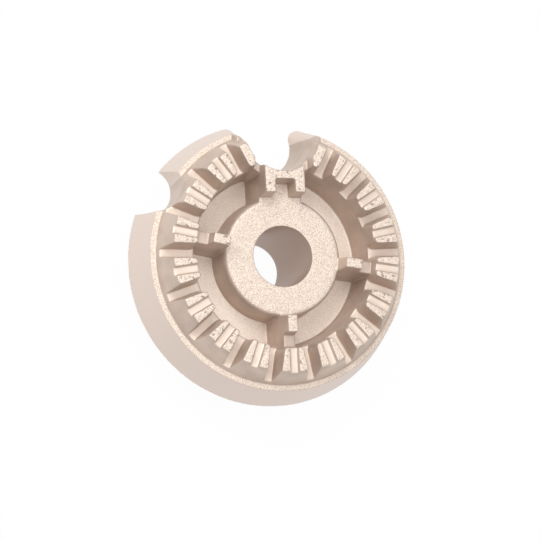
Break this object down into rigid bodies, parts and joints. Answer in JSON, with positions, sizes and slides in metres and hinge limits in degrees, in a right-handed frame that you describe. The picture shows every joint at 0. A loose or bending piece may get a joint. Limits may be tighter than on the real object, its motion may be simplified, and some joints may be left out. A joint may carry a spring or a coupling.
{
  "type": "gas burner ring",
  "caption": "Round cast burner ring with a toothed crown of radial ports, a hollow hub on a mixing tube, and notches for an igniter and a flame probe.",
  "frame": {"origin": "on the axis of the bore, in the plane of the skirt's lower rim", "axes": "+Z along the bore's axis to the flame side, +Y to the middle of the igniter notch"},
  "size_m": [0.0878, 0.0862, 0.041],
  "materials": {
    "cast_aluminium": "warm sand-like as-cast aluminium, smoother on the skirt and in the ports"
  },
  "bodies": {
    "root": {"burner_ring": "cast_aluminium"}
  },
  "joints": []
}
